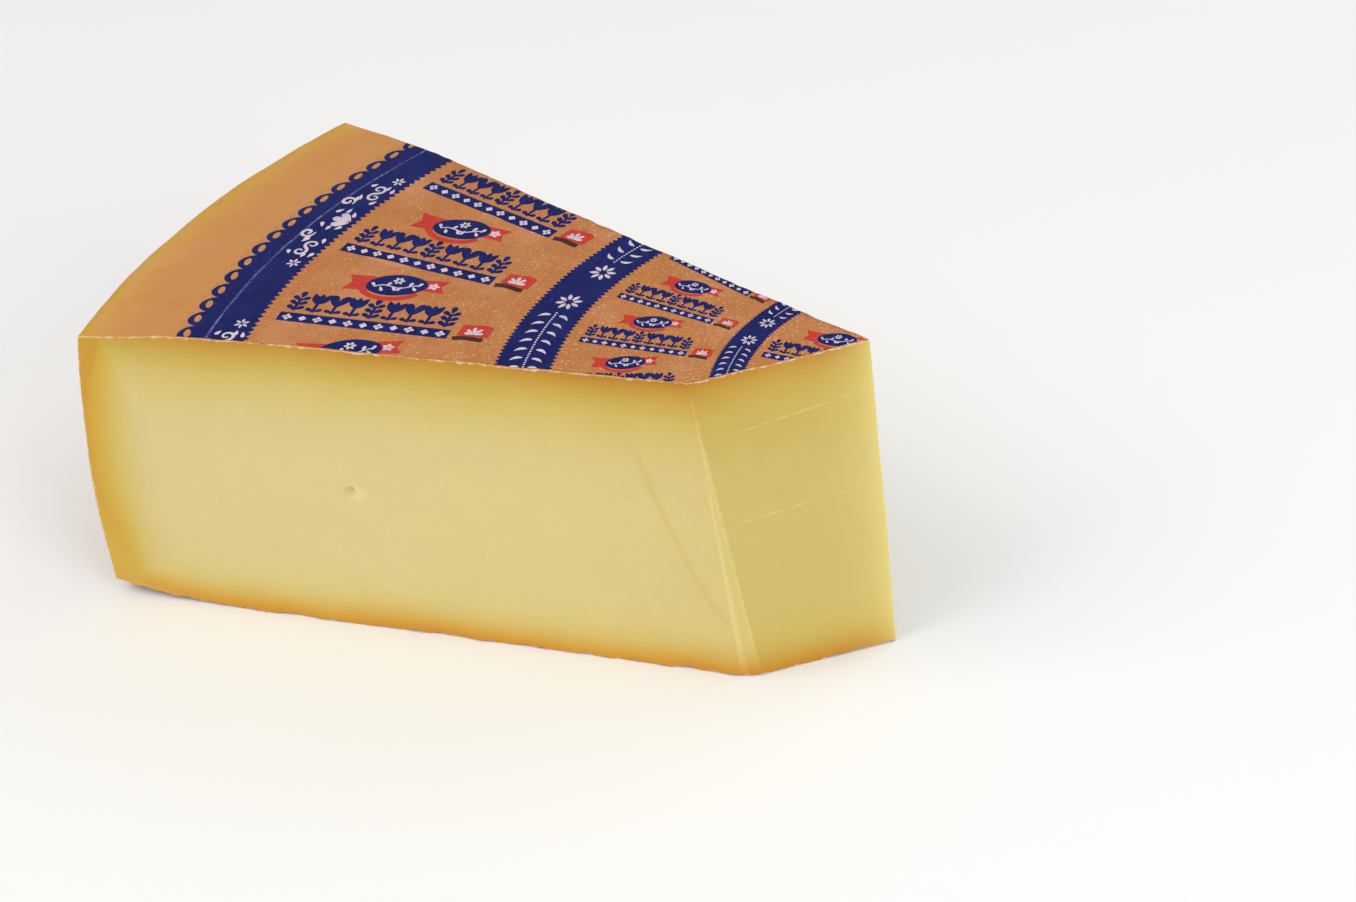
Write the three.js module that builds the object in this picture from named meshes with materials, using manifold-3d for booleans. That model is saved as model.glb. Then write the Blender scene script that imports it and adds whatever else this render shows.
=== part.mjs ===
// A wedge of hard alpine cheese, cut from a large wheel, with its printed label still on the top rind.
// The wheel stands on its flat bottom. It has a bulging side, and top and bottom round off towards it.
// Three knife cuts free the wedge: two long ones that nearly meet at the wheel's axis, and a slanting
// one that has taken the thin tip off. Millimetres, +Z up.

import * as THREE from "three";
import { mergeVertices } from "three/addons/utils/BufferGeometryUtils.js";
import Module from "manifold-3d";

const wasm = await Module();
wasm.setup();

// The wheel that the wedge comes from
const wheelRadius = 298; // at the widest of the bulging side
const wheelHeight = 110;
const bulgeHeight = 47; // the widest place, above the bottom
const topEdgeInset = 4.8; // how far the top edge lies inside the widest place
const bottomEdgeInset = 0.4;
const shoulderWidth = 68; // the ring of the top that slopes down to the side
const shoulderDrop = 4.2;
const footWidth = 52; // the ring of the bottom that rises to the side
const footRise = 5.5;

// Each cut is a straight line across the top and another across the bottom, with a ruled face between.
// bearing is the line's direction, in degrees from +X. reach is how far the line passes from the
// wheel's axis, and a negative one stops short of it.
const frontCut = {
  top: { bearing: 13.9, reach: 9.5 },
  bottom: { bearing: 12.8, reach: 20.7 },
};
const tipCut = {
  top: { bearing: 46.8, reach: -36.6 },
  bottom: { bearing: 45.6, reach: -17.2 },
};
const backCut = {
  top: { bearing: 180 - 14.4, reach: 6.7 },
  bottom: { bearing: 180 - 15.2, reach: -3.1 },
};

// A thin sliver was shaved off the upright edge between the front and the tip.
const shaveStart = 96; // height at which it begins
const shaveDepth = 1; // at the bottom
const shaveThickness = 12; // the block that takes it away is thicker than the sliver

// The label, a printed film glued to the top rind and cut together with the cheese
const labelRadius = 259;
const labelThickness = 0.2;
const glueGap = 0.3;

// How finely round things are faceted
const wheelSegments = 360;
const sideSteps = 16;
const ringSteps = 10;
const cutterSteps = 8;
const cutterStations = 12;

const rad = THREE.MathUtils.degToRad;

// Solids and meshes

function toSolid(geometry) {
  const bare = geometry.clone();
  bare.deleteAttribute("normal");
  bare.deleteAttribute("uv");
  const merged = mergeVertices(bare, 1e-4);
  return new wasm.Manifold(
    new wasm.Mesh({
      numProp: 3,
      vertProperties: merged.attributes.position.array,
      triVerts: new Uint32Array(merged.index.array),
    }),
  );
}

function toGeometry(solid) {
  const made = solid.getMesh();
  const geometry = new THREE.BufferGeometry();
  geometry.setAttribute("position", new THREE.BufferAttribute(made.vertProperties, 3));
  geometry.setIndex(new THREE.BufferAttribute(made.triVerts, 1));
  geometry.computeVertexNormals();
  return geometry;
}

// The wheel's profile

// Height of the top rind at a distance from the axis: flat, then a shoulder that slopes down more and more.
const topEdgeRadius = wheelRadius - topEdgeInset;
const bottomEdgeRadius = wheelRadius - bottomEdgeInset;

function topHeight(radius) {
  const share = Math.max(0, (radius - topEdgeRadius + shoulderWidth) / shoulderWidth);
  return wheelHeight - shoulderDrop * share * share;
}

function bottomHeight(radius) {
  const share = Math.max(0, (radius - bottomEdgeRadius + footWidth) / footWidth);
  return footRise * share * share;
}

// Radius of the side at a height: two half parabolas that meet at the widest place.
function sideRadius(height) {
  const above = height > bulgeHeight;
  const edgeHeight = above ? topHeight(topEdgeRadius) : bottomHeight(bottomEdgeRadius);
  const inset = above ? topEdgeInset : bottomEdgeInset;
  const share = (height - bulgeHeight) / (edgeHeight - bulgeHeight);
  return wheelRadius - inset * share * share;
}

// A run of points with the radius going from one value to another.
function ringPoints(from, to, steps, heightAt) {
  return Array.from({ length: steps + 1 }, (_, i) => {
    const radius = THREE.MathUtils.lerp(from, to, i / steps);
    return new THREE.Vector2(radius, heightAt(radius));
  });
}

function sidePoints() {
  const low = bottomHeight(bottomEdgeRadius);
  const high = topHeight(topEdgeRadius);
  return Array.from({ length: sideSteps - 1 }, (_, i) => {
    const height = THREE.MathUtils.lerp(low, high, (i + 1) / sideSteps);
    return new THREE.Vector2(sideRadius(height), height);
  });
}

// A lathed solid about +Z from a profile of (radius, height) points, given from the bottom up.
function lathed(profile) {
  const geometry = new THREE.LatheGeometry(profile, wheelSegments);
  geometry.rotateX(Math.PI / 2);
  return toSolid(geometry);
}

function wheelSolid() {
  const profile = [
    new THREE.Vector2(0, 0),
    ...ringPoints(bottomEdgeRadius - footWidth, bottomEdgeRadius, ringSteps, bottomHeight),
    ...sidePoints(),
    ...ringPoints(topEdgeRadius, topEdgeRadius - shoulderWidth, ringSteps, topHeight),
    new THREE.Vector2(0, wheelHeight),
  ];
  return lathed(profile);
}

// The label follows the rind's own curve, a glue line above it.
function labelDisc() {
  const under = (radius) => topHeight(radius) + glueGap;
  const over = (radius) => under(radius) + labelThickness;
  const flatRadius = Math.min(topEdgeRadius - shoulderWidth, labelRadius);
  const profile = [
    new THREE.Vector2(0, under(0)),
    ...ringPoints(flatRadius, labelRadius, ringSteps, under),
    ...ringPoints(labelRadius, flatRadius, ringSteps, over),
    new THREE.Vector2(0, over(0)),
  ];
  return lathed(profile);
}

// The cuts

// Point where two cut lines cross. A line's outward side is to the right of its bearing.
function crossing(one, other) {
  const [a, b] = [one, other].map(({ bearing, reach }) => ({
    nx: Math.sin(rad(bearing)),
    ny: -Math.cos(rad(bearing)),
    reach,
  }));
  const det = a.nx * b.ny - b.nx * a.ny;
  return new THREE.Vector2(
    (a.reach * b.ny - b.reach * a.ny) / det,
    (a.nx * b.reach - b.nx * a.reach) / det,
  );
}

// The four corners of the block that the knife leaves, on one level. The heel corners lie beyond the wheel.
function corners(level) {
  const front = frontCut[level];
  const tip = tipCut[level];
  const back = backCut[level];
  const beyondHeel = { bearing: -90, reach: wheelRadius * 1.1 };
  return [
    crossing(beyondHeel, front),
    crossing(front, tip),
    crossing(tip, back),
    crossing(back, beyondHeel),
  ];
}

// The same outline with each side divided, so that a ruled side bends evenly.
function divided(points) {
  return points.flatMap((start, i) => {
    const end = points[(i + 1) % points.length];
    return Array.from({ length: cutterStations }, (_, k) => start.clone().lerp(end, k / cutterStations));
  });
}

// The block between the cuts: an extrusion of the lower outline whose points slide to the upper one
// as they rise. It overshoots the wheel below and above by the same margin.
function knifeBlock() {
  const overshoot = 10;
  const lower = divided(corners("bottom"));
  const upper = divided(corners("top"));
  const depth = wheelHeight + 2 * overshoot;
  const block = new THREE.ExtrudeGeometry(new THREE.Shape(lower), {
    depth,
    steps: cutterSteps,
    bevelEnabled: false,
  });
  block.translate(0, 0, -overshoot);
  const position = block.getAttribute("position");
  for (let i = 0; i < position.count; i++) {
    const here = new THREE.Vector2(position.getX(i), position.getY(i));
    const nearest = lower.reduce((best, point, k) => {
      const distance = point.distanceTo(here);
      return distance < best.distance ? { distance, k } : best;
    }, { distance: Infinity, k: 0 });
    const share = position.getZ(i) / wheelHeight;
    const moved = lower[nearest.k].clone().lerp(upper[nearest.k], share);
    position.setXY(i, moved.x, moved.y);
  }
  return toSolid(block);
}

// A flat block that stands outside the upright edge and leans into it below shaveStart.
function shaveBlock() {
  const [, edgeBelow] = corners("bottom");
  const [, edgeAbove] = corners("top");
  const bearing = (frontCut.bottom.bearing + tipCut.bottom.bearing) / 2;
  const outward = new THREE.Vector3(Math.sin(rad(bearing)), -Math.cos(rad(bearing)), 0);
  const foot = new THREE.Vector3(edgeBelow.x, edgeBelow.y, 0).addScaledVector(outward, -shaveDepth);
  const start = new THREE.Vector3(edgeBelow.x, edgeBelow.y, 0).lerp(
    new THREE.Vector3(edgeAbove.x, edgeAbove.y, wheelHeight),
    shaveStart / wheelHeight,
  );
  const upAxis = start.clone().sub(foot).normalize();
  const along = new THREE.Vector3(Math.cos(rad(bearing)), Math.sin(rad(bearing)), 0);
  const face = new THREE.Vector3().crossVectors(along, upAxis).normalize();
  const across = new THREE.Vector3().crossVectors(face, upAxis);
  const box = new THREE.BoxGeometry(wheelHeight, shaveThickness, 3 * wheelHeight);
  box.translate(0, shaveThickness / 2, 0);
  box.applyMatrix4(new THREE.Matrix4().makeBasis(across, face, upAxis).setPosition(foot));
  return toSolid(box);
}

// The pieces

const knife = knifeBlock().subtract(shaveBlock());

const cheeseMaterial = new THREE.MeshStandardMaterial({
  color: "#dcc886", // pale straw paste
  roughness: 0.55,
  metalness: 0,
});
const labelMaterial = new THREE.MeshStandardMaterial({
  color: "#c68953", // the rind seen through the film
  roughness: 0.5,
  metalness: 0,
});

const cheese = new THREE.Mesh(toGeometry(wheelSolid().intersect(knife)), cheeseMaterial);
cheese.name = "cheese_wedge";

const label = new THREE.Mesh(toGeometry(labelDisc().intersect(knife)), labelMaterial);
label.name = "printed_label";

// The wheel's axis is the modelling origin, and the part's origin is under the middle of the wedge.
const middle = new THREE.Box3().setFromObject(cheese).getCenter(new THREE.Vector3());
const cheeseWedge = new THREE.Group();
cheeseWedge.add(cheese, label);
cheeseWedge.position.set(-middle.x, -middle.y, 0);

export default cheeseWedge;
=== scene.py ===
import bpy
import numpy as np
from mathutils import Matrix, Vector
from mathutils.geometry import delaunay_2d_cdt


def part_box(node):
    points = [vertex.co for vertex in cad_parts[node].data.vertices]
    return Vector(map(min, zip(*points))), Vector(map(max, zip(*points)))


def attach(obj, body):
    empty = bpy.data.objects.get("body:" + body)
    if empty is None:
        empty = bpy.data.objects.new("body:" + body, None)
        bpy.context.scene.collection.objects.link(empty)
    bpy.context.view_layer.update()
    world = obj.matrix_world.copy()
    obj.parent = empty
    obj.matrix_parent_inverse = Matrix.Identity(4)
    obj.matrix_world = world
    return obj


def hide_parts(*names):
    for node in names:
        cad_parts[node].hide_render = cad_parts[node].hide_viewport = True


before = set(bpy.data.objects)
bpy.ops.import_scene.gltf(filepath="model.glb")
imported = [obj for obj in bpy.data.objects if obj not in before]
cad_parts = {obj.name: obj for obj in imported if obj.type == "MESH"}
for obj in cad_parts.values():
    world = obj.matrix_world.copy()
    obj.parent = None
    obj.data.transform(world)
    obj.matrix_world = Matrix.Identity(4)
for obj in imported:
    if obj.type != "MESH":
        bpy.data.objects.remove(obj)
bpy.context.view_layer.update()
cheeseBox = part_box("cheese_wedge")
mm = 0.001

# Shapes are worked out in millimetres about the axis of the wheel that the wedge was cut from.
# The wedge lies on the -X side of that axis, its long visible cut faces -Y and its tip points to +X.

wheel = {
    "radius": 298.0,
    "height": 110.0,
    "bulgeHeight": 47.0,
    "topInset": 4.8,
    "bottomInset": 0.4,
    "shoulderWidth": 68.0,
    "shoulderDrop": 4.2,
    "footWidth": 52.0,
    "footRise": 5.5,
}
# Each cut is a line at the bottom and a line at the top: its bearing in degrees, and its reach past the axis.
cuts = {
    "front": ((12.8, 20.7), (13.9, 9.5)),
    "tip": ((45.6, -17.2), (46.8, -36.6)),
    "back": ((164.8, -3.1), (165.6, 6.7)),
    "backBow": 1.1,  # the blade wandered inwards along the back
    "shaveStart": 96.0,  # a sliver is gone from the front corner of the tip, below this height
    "shaveDepth": 0.85,
}


# The wheel and its cuts, as functions.

# Flat, then falling with the square of how far the point is into the shoulder.
def topHeight(radius):
    share = np.clip((radius - wheel["radius"] + wheel["topInset"]) / wheel["shoulderWidth"] + 1, 0, None)
    return wheel["height"] - wheel["shoulderDrop"] * share**2


# Flat, then rising the same way towards the side.
def bottomHeight(radius):
    share = np.clip((radius - wheel["radius"] + wheel["bottomInset"]) / wheel["footWidth"] + 1, 0, None)
    return wheel["footRise"] * share**2


# Two half parabolas that meet at the widest place.
def sideRadius(z):
    above = z > wheel["bulgeHeight"]
    edge = np.where(above, wheel["height"] - wheel["shoulderDrop"], wheel["footRise"])
    inset = np.where(above, wheel["topInset"], wheel["bottomInset"])
    return wheel["radius"] - inset * ((z - wheel["bulgeHeight"]) / (edge - wheel["bulgeHeight"])) ** 2


def lerp(a, b, t):
    return a + (b - a) * t


# The direction out of a cut: to the right of its bearing.
def outward(bearing):
    return np.array([np.sin(np.radians(bearing)), -np.cos(np.radians(bearing))])


# Where two cut lines cross: the point that lies at each line's reach along its outward direction.
def crossing(one, other):
    return np.linalg.solve([outward(one[0]), outward(other[0])], [one[1], other[1]])


# The four corners at the bottom (row 0) and at the top (row 1). The heel ones lie beyond the wheel.
beyondHeel = (-90.0, 330.0)
cornerRows = {
    "heelFront": [crossing(beyondHeel, cuts["front"][i]) for i in (0, 1)],
    "tipFront": [crossing(cuts["front"][i], cuts["tip"][i]) for i in (0, 1)],
    "tipBack": [crossing(cuts["tip"][i], cuts["back"][i]) for i in (0, 1)],
    "heelBack": [crossing(cuts["back"][i], beyondHeel) for i in (0, 1)],
}


# A corner's place at a share of the height, on the straight line between its two rows.
def corner(name, share):
    low, high = cornerRows[name]
    return lerp(low, high, share[..., None])


# Where the line from a tip corner to a heel corner passes out through the wheel's side: the far root of a
# quadratic in the distance along the line.
def onRim(start, end, radius):
    way = end - start
    a = (way**2).sum(-1)
    b = (start * way).sum(-1)
    c = (start**2).sum(-1) - radius**2
    t = (-b + np.sqrt(b**2 - a * c)) / a
    return start + way * t[..., None]


# Plan of the wedge at a height: along runs from the heel to the tip, across from the front to the back.
# A straight-sided patch between the four corners, plus the heel's arc fading out towards the tip.
def planPoint(along, across, z):
    share = z / wheel["height"]
    radius = sideRadius(z)
    tipFront, tipBack = corner("tipFront", share), corner("tipBack", share)
    heelFront = onRim(tipFront, corner("heelFront", share), radius)
    heelBack = onRim(tipBack, corner("heelBack", share), radius)
    a, b = along[..., None], across[..., None]
    chord = lerp(heelFront, heelBack, b)
    angle = lerp(*(np.arctan2(p[..., 1], -p[..., 0]) for p in (heelFront, heelBack)), across)
    arc = np.stack([-radius * np.cos(angle), radius * np.sin(angle)], -1)
    flat = lerp(chord, lerp(tipFront, tipBack, b), a) + (1 - a) * (arc - chord)
    bow = cuts["backBow"] * (1 - np.abs(2 * a - 1) ** 4) * b
    return flat - outward(cuts["back"][1][0]) * bow


# A point of the wedge from three shares: along, across, and up from the bottom rind to the top rind.
# The height and the plan depend on each other, so they are worked out three times over.
def wedgePoint(along, across, up):
    z = up * wheel["height"]
    for _ in range(3):
        plan = planPoint(along, across, z)
        radius = np.hypot(plan[..., 0], plan[..., 1])
        z = lerp(bottomHeight(radius), topHeight(radius), up)
    return np.concatenate([plan, z[..., None]], -1)


# A sum of sine waves in scattered directions, about one unit high, whose length is around the given size.
def swell(x, y, size, seed, count=9):
    rng = np.random.default_rng(seed)
    turn, phase = rng.uniform(0, 2 * np.pi, (2, count))
    pitch = 2 * np.pi / (size * rng.uniform(0.6, 1.7, count))
    waves = np.sin(x[..., None] * np.cos(turn) * pitch + y[..., None] * np.sin(turn) * pitch + phase)
    return waves.sum(-1) / np.sqrt(count)


# Low swellings that the cloth and the shelf left on the rind, seen from above.
def topRelief(x, y):
    return 0.16 * swell(x, y, 34, 11) + 0.07 * swell(x, y, 12, 12) - 0.1


# The same places in the part's own frame: the clean wedge's box is centred on the CAD one's.
grid = np.meshgrid(*[np.linspace(0, 1, 81)] * 3, indexing="ij")
clean = wedgePoint(*grid).reshape(-1, 3)
middle = (clean.min(0) + clean.max(0)) / 2
axisPlace = np.array([(cheeseBox[0][i] + cheeseBox[1][i]) / 2 / mm - middle[i] for i in (0, 1)] + [0.0])
print("wheel axis in the part's frame, mm:", np.round(axisPlace, 3))


# Small helpers for colours, nodes, materials and meshes.


def hexColour(text):
    part = np.array([int(text[i : i + 2], 16) for i in (1, 3, 5)]) / 255
    return (*np.where(part <= 0.04045, part / 12.92, ((part + 0.055) / 1.055) ** 2.4), 1.0)


# Links or fills a node's inputs, by name or in order. A node given as a value stands for its first output.
def plug(tree, node, inputs):
    for name, value in inputs.items() if isinstance(inputs, dict) else enumerate(inputs):
        if isinstance(value, bpy.types.Node):
            value = next(socket for socket in value.outputs if socket.enabled)
        if isinstance(value, bpy.types.NodeSocket):
            tree.links.new(value, node.inputs[name])
        else:
            node.inputs[name].default_value = value


def addNode(tree, kind, inputs=(), stops=(), **settings):
    node = tree.nodes.new("ShaderNode" + kind)
    for name, value in settings.items():
        setattr(node, name, value)
    plug(tree, node, inputs)
    for i, (place, colour) in enumerate(stops):
        ends = node.color_ramp.elements
        stop = ends[i] if i < 2 else ends.new(place)
        stop.position = place
        stop.color = hexColour(colour)
    return node


# Lays tints over a colour. Each has a mask, the mask's range, its share at both ends of that, and its hex.
def tinted(tree, colour, tints):
    for mask, low, high, atLow, atHigh, tint in tints:
        share = addNode(tree, "MapRange", (mask, low, high, atLow, atHigh))
        colour = addNode(tree, "Mix", {0: share, 6: colour, 7: hexColour(tint)}, data_type="RGBA")
    return colour


# Noise and other textures count features per metre.
def perMetre(sizeMm):
    return 1000 / sizeMm


# A wave texture's bands are 0.314 units apart at scale 1.
def bandScale(pitchMm):
    return 314.16 / pitchMm


def newMaterial(name):
    material = bpy.data.materials.new(name)
    material.use_nodes = True
    tree = material.node_tree
    return material, tree, tree.nodes["Principled BSDF"]


# A smooth mesh from points in mm about the wheel's axis, with each face's place in the list of materials.
def makePiece(name, verts, faces, materials, slots):
    mesh = bpy.data.meshes.new(name)
    mesh.from_pydata(((verts + axisPlace) * mm).tolist(), [], faces)
    for material in materials:
        mesh.materials.append(material)
    mesh.polygons.foreach_set("material_index", slots)
    mesh.polygons.foreach_set("use_smooth", np.full(len(mesh.polygons), True))
    mesh.update()
    piece = bpy.data.objects.new(name, mesh)
    bpy.context.scene.collection.objects.link(piece)
    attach(piece, "root")
    return piece


# Cheese paste: pressed curd, cut with a blade.
# Close and slightly waxy. It darkens from pale straw to amber within two fingers of the rind, where it
# has dried.

paste = {
    "reach": 60.0,  # mm that each ramp spans
    "fromFilm": [(0, "#bb8424"), (2, "#c49232"), (5, "#c8a043"), (8, "#ccab4e"), (14, "#d3ba67"),
                (19, "#d5c073"), (25, "#d8c57e"), (33, "#dac889"), (48, "#dccc8c")],
    "fromShelf": [(0, "#d08f2c"), (2.5, "#d69e38"), (5, "#d8ae4c"), (10, "#dac273"), (16, "#dccb86"),
                  (24, "#dccc8c")],
    "fromSide": [(0, "#cd9a30"), (3, "#d3a83c"), (6, "#d4af46"), (8.5, "#d5b552"), (13, "#d7bf6c"),
                 (19, "#dac684"), (27, "#dccc8c")],
    "tipRange": (-0.03, 0.135),  # metres along X, where the next tints begin and end
    # painted shade: the paste is made darker and yellower towards the tip
    "shadeTowardsTip": [(0, "#ffffff"), (0.45, "#fdfcf5"), (1, "#f5efdc")],
    # the colour that the painted shade on the tip cut multiplies by
    "tip": "#f4efd4",
    # the colour of the painted highlight along the paste's edge against the rind
    "pasteLipHighlight": "#efe3bd",
    # the colour of the painted light that shines through the thin edge
    "thin": "#eee28f",
    # colours of the painted sheen on the facet and of the painted highlights along its edges
    "facetSheen": "#e8d98f",
    "edgeHighlightAndChip": "#f1e5a8",
    # the colour of the painted shade along the crease
    "crease": "#d4b25c",
    # colours of the eye's painted highlight, painted shade and painted shadow
    "eyeRimHighlight": "#ecdfa6",
    "eyeWallShade": "#ccb670",
    "eyeHoleShadow": "#b5923f",
    "scratch": "#f0e8bc",
    "roughness": (0.44, 0.58),
}


# A lens-shaped spot of strength 1 at its middle and 0 at its rim, at a place in the part's frame.
def spot(tree, place, centre, halfSizes, axes=None):
    turn = Matrix(axes).transposed().to_euler() if axes is not None else (0, 0, 0)
    put = addNode(tree, "Mapping", {
        "Vector": place, "Location": Vector(centre) * mm, "Rotation": turn, "Scale": Vector(halfSizes) * mm,
    }, vector_type="TEXTURE")
    return addNode(tree, "TexGradient", {"Vector": put}, gradient_type="SPHERICAL")


# The lines that the blade's edge left on the cuts, each a very long and narrow spot.
def scratchMask(tree, place):
    mask = 0.0
    for cut, (s0, z0), (s1, z1) in bladeLines:
        start, end = cutSpot(cut, s0, z0), cutSpot(cut, s1, z1)
        length = np.linalg.norm(end - start)
        along = (end - start) / length
        face = np.cross(along, cutSpot(cut, s0, z0 + 10) - start)
        face = face / np.linalg.norm(face)
        axes = [along, np.cross(face, along), face]
        lens = spot(tree, place, (start + end) / 2 + axisPlace, (length / 2, 0.34, 3), axes)
        line = addNode(tree, "MapRange", (lens, 0.02, 0.25, 0, 1))
        mask = addNode(tree, "Math", (mask, line), operation="MAXIMUM")
    # broken up, so that parts of each line are missing
    breaks = addNode(tree, "TexNoise", {
        "Vector": place, "Scale": perMetre(4), "Detail": 4.0, "Roughness": 0.7,
    })
    kept = addNode(tree, "MapRange", (breaks, 0.4, 0.58, 0.1, 1))
    return addNode(tree, "Math", (mask, kept), operation="MULTIPLY")


# The paste's colour by how far it has dried: each rind has its own ramp of depths, and the darkest counts.
# Painted shade towards the tip and on the tip cut goes over it.
def driedPasteAndTipShade(tree, place, mark):
    wander = addNode(tree, "TexNoise", {"Vector": place, "Scale": perMetre(38), "Detail": 3.0})
    wander = addNode(tree, "MapRange", (wander, 0, 1, -3, 3))
    colour = (1.0, 1.0, 1.0, 1.0)
    for name in ("fromFilm", "fromShelf", "fromSide"):
        depth = addNode(tree, "Math", (mark[name], wander), operation="ADD")
        depth = addNode(tree, "MapRange", (depth, 0, paste["reach"], 0, 1))
        stops = [(at / paste["reach"], shade) for at, shade in paste[name]]
        ramp = addNode(tree, "ValToRGB", (depth,), stops)
        colour = addNode(tree, "Mix", {0: 1.0, 6: colour, 7: ramp}, data_type="RGBA", blend_type="DARKEN")
    # painted shade, darker and yellower towards the tip
    x = addNode(tree, "SeparateXYZ", (place,)).outputs["X"]
    paintedTipShade = addNode(tree, "MapRange", (x, *paste["tipRange"], 0, 1))
    paintedTipShade = addNode(tree, "ValToRGB", (paintedTipShade,), paste["shadeTowardsTip"])
    colour = addNode(tree, "Mix", {0: 1.0, 6: colour, 7: paintedTipShade}, data_type="RGBA", blend_type="MULTIPLY")
    # painted shade on the tip cut, which gets less of the light: darker and yellower, away from its top
    tipFaceShade = addNode(tree, "Math", (
        addNode(tree, "MapRange", (mark["fromTip"], 0.4, 1.4, 1, 0)),
        addNode(tree, "MapRange", (mark["fromTop"], 4, 22, 0.1, 1)),
    ), operation="MULTIPLY")
    tipFaceShadeColour = hexColour(paste["tip"])
    return addNode(tree, "Mix", {0: tipFaceShade, 6: colour, 7: tipFaceShadeColour}, data_type="RGBA", blend_type="MULTIPLY")


# Masks of the painted highlights along both edges of the shaved facet, with a pale chip, and of the facet's
# painted sheen. Both end above the bottom.
def shavedMasks(tree, place, mark, grain):
    edgeHighlightAndChip = addNode(tree, "Math", (
        addNode(tree, "MapRange", (mark["shave"], -0.24, 0.0, 0, 1)),
        addNode(tree, "MapRange", (mark["shave"], 0.0, 0.16, 1, 0)),
    ), operation="MINIMUM")
    chip = spot(tree, place, cutSpot("tip", *chipPlace) + axisPlace, (1.5, 1.5, 7.0))
    chip = addNode(tree, "MapRange", (chip, 0, 0.6, 0, 1))
    edgeHighlightAndChip = addNode(tree, "Math", (edgeHighlightAndChip, chip), operation="MAXIMUM")
    crumbs = addNode(tree, "MapRange", (grain, 0.3, 0.6, 0.4, 1))
    edgeHighlightAndChip = addNode(tree, "Math", (edgeHighlightAndChip, crumbs), operation="MULTIPLY")
    facetSheen = addNode(tree, "MapRange", (mark["shave"], 0.0, 0.15, 0, 1))
    above = addNode(tree, "MapRange", (mark["fromBottom"], 1, 14, 0.1, 1))
    return [addNode(tree, "Math", (mask, above), operation="MULTIPLY") for mask in (edgeHighlightAndChip, facetSheen)]


def makePaste():
    material, tree, shader = newMaterial("cheese paste pressed and cut")
    place = addNode(tree, "TexCoord").outputs["Object"]
    mark = {name: addNode(tree, "Attribute", attribute_name=name).outputs["Fac"] for name in marks}
    colour = driedPasteAndTipShade(tree, place, mark)
    # curd grain of about 2 mm, and cloudiness of about 12 mm
    grain = addNode(tree, "TexNoise", {
        "Vector": place, "Scale": perMetre(2.2), "Detail": 4.0, "Roughness": 0.6,
    })
    cloud = addNode(tree, "TexNoise", {"Vector": place, "Scale": perMetre(12), "Detail": 3.0})
    value = addNode(tree, "Math", (
        addNode(tree, "MapRange", (grain, 0.25, 0.75, 0.985, 1.015)),
        addNode(tree, "MapRange", (cloud, 0.25, 0.75, 0.985, 1.015)),
    ), operation="MULTIPLY")
    colour = addNode(tree, "HueSaturation", {"Value": value, "Color": colour})
    edgeHighlightAndChip, facetSheen = shavedMasks(tree, place, mark, grain)
    # painted highlight: a pale ragged line on the rounded edge against the rind
    rag = addNode(tree, "TexNoise", {
        "Vector": place, "Scale": perMetre(2.4), "Detail": 4.0, "Roughness": 0.65,
    })
    rag = addNode(tree, "MapRange", (rag, 0.25, 0.75, -0.75, 0.75))
    lipHighlight = addNode(tree, "Math", (mark["fromRind"], rag), operation="ADD")
    # one small eye: painted shade in its hollow, a darker painted shadow speck in it, and a painted highlight
    # on the pale rim on its far side
    eyeSpot = cutSpot("front", -eye["along"], eye["height"]) + axisPlace
    colour = tinted(tree, colour, [
        # painted light: a paler glow along the thin edge, where light shines through
        (mark["thinEdgeGlow"], 0, 1, 0, 0.55, paste["thin"]),
        # painted sheen on the facet, and painted highlights along its two edges
        (facetSheen, 0, 1, 0, 0.3, paste["facetSheen"]),
        (edgeHighlightAndChip, 0, 1, 0, 0.4, paste["edgeHighlightAndChip"]),
        # painted shade along the crease's groove
        (mark["crease"], 0, 1, 0, 0.42, paste["crease"]),
        (scratchMask(tree, place), 0, 1, 0, 0.25, paste["scratch"]),
        (spot(tree, place, eyeSpot + (2.0, 0.5, -0.5), (4.4, 4, 4.4)), 0, 0.6, 0, 0.38, paste["eyeRimHighlight"]),
        (spot(tree, place, eyeSpot + (-0.8, 0, -0.5), (2.7, 3, 2.4)), 0, 0.6, 0, 0.5, paste["eyeWallShade"]),
        (spot(tree, place, eyeSpot + (0.1, 0, 0.8), (0.95, 3, 0.9)), 0, 0.4, 0, 0.5, paste["eyeHoleShadow"]),
        (lipHighlight, 0.1, 0.5, 0.6, 0, paste["pasteLipHighlight"]),
    ])
    # a fine cut surface: grain under a millimetre, and drag lines along the blade's way
    drag = addNode(tree, "Mapping", {"Vector": place, "Scale": (0.06, 0.06, 1.0)})
    lines = addNode(tree, "TexNoise", {"Vector": drag, "Scale": perMetre(0.9), "Detail": 2.0})
    fine = addNode(tree, "TexNoise", {
        "Vector": place, "Scale": perMetre(0.7), "Detail": 3.0, "Roughness": 0.6,
    })
    height = addNode(tree, "Math", (lines, fine), operation="ADD")
    plug(tree, shader, {
        "Base Color": colour,
        "Roughness": addNode(tree, "MapRange", (fine, 0, 1, *paste["roughness"])),
        "Normal": addNode(tree, "Bump", {"Height": height, "Distance": 0.00012, "Strength": 0.5}),
        "IOR": 1.44,  # milk fat and protein
        "Specular IOR Level": 0.35,
        "Subsurface Weight": 0.25,
        "Subsurface Radius": (1.0, 0.62, 0.28),
        "Subsurface Scale": 0.005,
    })
    return material


# Washed rind: pressed in cloth, washed with brine and rubbed for months.
# Tan to ochre and dull, with the cloth's crosshatch still on it, paler and yellower along the outer edge.

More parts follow.
